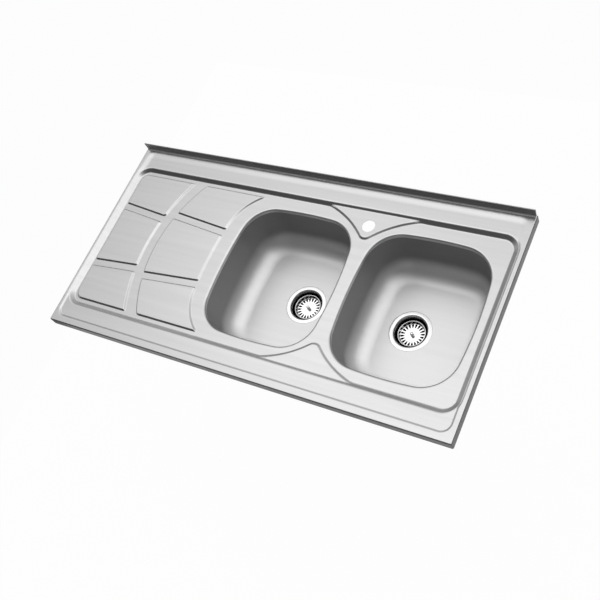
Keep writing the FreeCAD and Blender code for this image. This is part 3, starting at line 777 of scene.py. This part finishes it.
for side, x in drain_x.items():
    pressed = Sheet()
    turn_profile(pressed, flange_profile + cup_foot, (x, bowl_y), cup_segments)
    turn_profile(pressed, cup_dimple, (x, bowl_y), cup_segments)
    add_ring(pressed, cup_ring, (x, bowl_y))
    cup = pressed.piece(side + "_pressed_cup", cup_wall)
    cup.data.materials.append(cup_steel)
    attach(cup, "sink")
    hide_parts(side + "_strainer_cup")


# Baskets: pressed from thin polished steel, with a rolled rim to sit in the cup and twenty punched slots
# between the flat middle and the wall. They lift out by the knob.
basket_rim = [(36.9, -13.6), (37.0, -12.7), (36.7, -12.0), (36.1, -11.7), (35.3, -11.7), (34.7, -12.0),
              (34.3, -12.8), (34.1, -14.0)]
basket_foot = [(33.0, -20.6), (32.9, -21.4), (32.6, -22.1), (32.1, -22.5)]
basket_middle = [(20.0, -22.5), (12.0, -22.5), (2.6, -22.5)]
basket_floor = -22.5
basket_wall = 0.7
slot_count = 20
slot_ends = (20.6, 31.9)
slot_half_widths = (1.5, 3.2)
basket_segments = 120
slot = []
for half, end, start in ((slot_half_widths[1], slot_ends[1] - slot_half_widths[1], -90),
                         (slot_half_widths[0], slot_ends[0] + slot_half_widths[0], 90)):
    for t in np.radians(np.linspace(start, start + 180, 9)):
        slot.append((end + half * math.cos(t), half * math.sin(t)))
basket_sector = holed_sector("basket_sector", basket_middle[0][0], basket_foot[-1][0],
                             bowl_floor_z + basket_floor, slot_count, basket_segments, slot)
basket_ring = ring_of(basket_sector, slot_count)
for side, x in drain_x.items():
    pressed = Sheet()
    turn_profile(pressed, basket_rim + basket_foot, (x, bowl_y), basket_segments)
    turn_profile(pressed, basket_middle, (x, bowl_y), basket_segments)
    add_ring(pressed, basket_ring, (x, bowl_y))
    basket = pressed.piece(side + "_pressed_basket", basket_wall)
    basket.data.materials.append(polished_steel)
    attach(basket, side + "_lift_out_basket")
    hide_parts(side + "_basket")


# Basket knobs: turned from stainless bar, a mushroom head on a waisted neck. The stem passes through the
# basket, the stopper and its washer, and is riveted over below.
knob_foot = [(0.0, -28.3), (2.9, -28.3), (3.5, -28.0), (3.5, -27.5), (2.5, -27.5), (2.5, -22.5),
             (4.4, -22.5), (4.7, -22.2), (4.7, -21.8), (4.3, -21.4)]
knob_neck = [(3.3, -20.9), (2.7, -20.0), (2.5, -19.0), (2.5, -17.6), (2.8, -16.4), (3.4, -15.5)]
knob_head = [(4.1, -14.9), (4.4, -14.1), (4.4, -13.2), (4.1, -12.3), (3.5, -11.6), (2.5, -11.15),
             (1.3, -10.95), (0.0, -10.9)]
knob_segments = 48
knob_steel = surface("knob_steel", (0.72, 0.72, 0.72), (0.82, 0.82, 0.82), (0.16, 0.28), 1.0, 160.0, 0.1)
for side, x in drain_x.items():
    bar = Sheet()
    turn_profile(bar, knob_foot + knob_neck + knob_head, (x, bowl_y), knob_segments)
    knob = bar.piece(side + "_turned_knob", 0)
    knob.data.materials.append(knob_steel)
    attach(knob, side + "_lift_out_basket")
    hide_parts(side + "_basket_knob")


# Pieces kept from the frame: stoppers, washers, seals, waste bodies, inserts, screws, pads and rails, each
# with the finish of its own material.
plain_steel = surface("plain_steel", (0.42, 0.42, 0.42), (0.55, 0.55, 0.55), (0.25, 0.4), 1.0, 120.0, 0.1)
black_rubber = surface("black_rubber", (0.012, 0.012, 0.012), (0.03, 0.03, 0.03), (0.6, 0.8), 0.0,
                       300.0, 0.2)
waste_plastic = surface("waste_plastic", (0.74, 0.74, 0.72), (0.80, 0.80, 0.78), (0.4, 0.55), 0.0,
                        240.0, 0.15)
brass = surface("brass", (0.50, 0.34, 0.12), (0.60, 0.42, 0.17), (0.25, 0.4), 1.0, 200.0, 0.1)
damping_sheet = surface("damping_sheet", (0.05, 0.05, 0.052), (0.10, 0.10, 0.10), (0.8, 0.95), 0.0,
                        70.0, 0.6)
galvanised_steel = surface("galvanised_steel", (0.38, 0.39, 0.40), (0.58, 0.59, 0.60), (0.35, 0.55), 1.0,
                           35.0, 0.1)
kept = {"stopper": black_rubber, "stopper_washer": plain_steel, "flange_seal": black_rubber,
        "body_seal": black_rubber, "waste_body": waste_plastic, "waste_insert": brass,
        "waste_screw": plain_steel, "damping_pad": damping_sheet, "drainer_rail": galvanised_steel}
for side in ("left", "right"):
    for piece, material in kept.items():
        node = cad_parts[side + "_" + piece]
        node.data.materials.clear()
        node.data.materials.append(material)


# Studio: a pale floor at the height of a cabinet's foot, a soft sky that is bright overhead and behind and
# dim in front, grey walls low around it, and the camera at the photograph's place. Sizes are in metres.
floor_z = -0.9
floor_reach = 1.4
floor_grey = 0.9
floor_glow = 0.97
floor_mesh = bpy.data.meshes.new("floor")
corners = [(floor_reach * i, floor_reach * j, floor_z) for i, j in ((-1, -1), (1, -1), (1, 1), (-1, 1))]
floor_mesh.from_pydata(corners, [], [(0, 1, 2, 3)])
floor = bpy.data.objects.new("floor", floor_mesh)
bpy.context.scene.collection.objects.link(floor)
floor_white = bpy.data.materials.new("floor_white")
floor_white.use_nodes = True
tree = floor_white.node_tree
matt = tree.nodes["Principled BSDF"]
matt.inputs["Base Color"].default_value = (floor_grey, floor_grey, floor_grey, 1)
matt.inputs["Roughness"].default_value = 0.9
glow = tree.nodes.new("ShaderNodeEmission")
path = tree.nodes.new("ShaderNodeLightPath")
seen = calc(tree, "MAXIMUM", path.outputs["Is Camera Ray"], path.outputs["Is Transmission Ray"])
mixed = tree.nodes.new("ShaderNodeMixShader")
tree.links.new(calc(tree, "MULTIPLY", seen, floor_glow), mixed.inputs["Fac"])
tree.links.new(matt.outputs[0], mixed.inputs[1])
tree.links.new(glow.outputs[0], mixed.inputs[2])
tree.links.new(mixed.outputs[0], tree.nodes["Material Output"].inputs["Surface"])
floor_mesh.materials.append(floor_white)

# Light from each direction: a share for each axis, as pairs of direction and level, and the walls' own light
sky_shape = {"X": ((-1.0, 0.4), (-0.72, 0.36), (-0.5, 0.9), (-0.44, 0.96), (-0.33, 0.86), (-0.1, 0.9),
                   (0.2, 0.95), (0.4, 0.95), (0.6, 0.85), (0.8, 0.65), (1.0, 0.5)),
             "Y": ((-1.0, 0.45), (-0.95, 0.28), (-0.84, 0.05), (-0.6, 0.03), (-0.38, 0.06), (-0.18, 0.28),
                   (0.0, 0.7), (0.18, 0.95), (0.28, 1.0), (0.36, 0.95), (0.46, 0.62), (0.6, 0.52),
                   (1.0, 0.4)),
             "Z": ((-0.1, 0.2), (0.1, 0.25), (0.6, 1.0), (1.0, 1.0))}
wall_shape = ((-0.1, 0.08), (0.08, 0.2), (0.2, 0.2), (0.34, 0.0))
sky_strength = 1.9
backdrop_white = 0.98
sky = bpy.data.worlds.new("studio_sky")
bpy.context.scene.world = sky
sky.use_nodes = True
tree = sky.node_tree
way = tree.nodes.new("ShaderNodeTexCoord")
split = tree.nodes.new("ShaderNodeSeparateXYZ")
tree.links.new(way.outputs["Generated"], split.inputs["Vector"])


def sky_share(axis, stops):
    """Level of light along one axis of the direction."""
    falloff = tree.nodes.new("ShaderNodeValToRGB")
    falloff.color_ramp.interpolation = "EASE"
    while len(falloff.color_ramp.elements) < len(stops):
        falloff.color_ramp.elements.new(1.0)
    for element, (place, level) in zip(falloff.color_ramp.elements, stops):
        element.position = (place + 1) / 2
        element.color = (level, level, level, 1)
    tree.links.new(ranged(tree, split.outputs[axis], 0.0, 1.0, -1.0), falloff.inputs["Fac"])
    return falloff.outputs["Color"]


light = 1.0
for axis, stops in sky_shape.items():
    light = calc(tree, "MULTIPLY", light, sky_share(axis, stops))
light = calc(tree, "ADD", light, sky_share("Z", wall_shape))
open_sky = tree.nodes["Background"]
tree.links.new(light, open_sky.inputs["Color"])
open_sky.inputs["Strength"].default_value = sky_strength
backdrop = tree.nodes.new("ShaderNodeBackground")
backdrop.inputs["Color"].default_value = (backdrop_white, backdrop_white, backdrop_white, 1)
path = tree.nodes.new("ShaderNodeLightPath")
shown = tree.nodes.new("ShaderNodeMixShader")
tree.links.new(path.outputs["Is Camera Ray"], shown.inputs["Fac"])
tree.links.new(open_sky.outputs[0], shown.inputs[1])
tree.links.new(backdrop.outputs[0], shown.inputs[2])
tree.links.new(shown.outputs[0], tree.nodes["World Output"].inputs["Surface"])

# Camera, fitted to the sink's corners, edges and bowls in the photograph
camera_place = (1.13965, -0.78676, 1.80306)
camera_right = Vector((0.85366, 0.4012, -0.33212))
camera_down = Vector((0.21611, -0.85304, -0.475))
camera_ahead = Vector((-0.47388, 0.33372, -0.81491))
camera_data = bpy.data.cameras.new("camera")
camera_data.sensor_width = 36.0
camera_data.lens = 52.205
camera = bpy.data.objects.new("camera", camera_data)
bpy.context.scene.collection.objects.link(camera)
turn = Matrix((camera_right, -camera_down, -camera_ahead)).transposed().to_4x4()
camera.matrix_world = Matrix.Translation(camera_place) @ turn
bpy.context.scene.camera = camera
bpy.context.scene.view_settings.view_transform = "Standard"
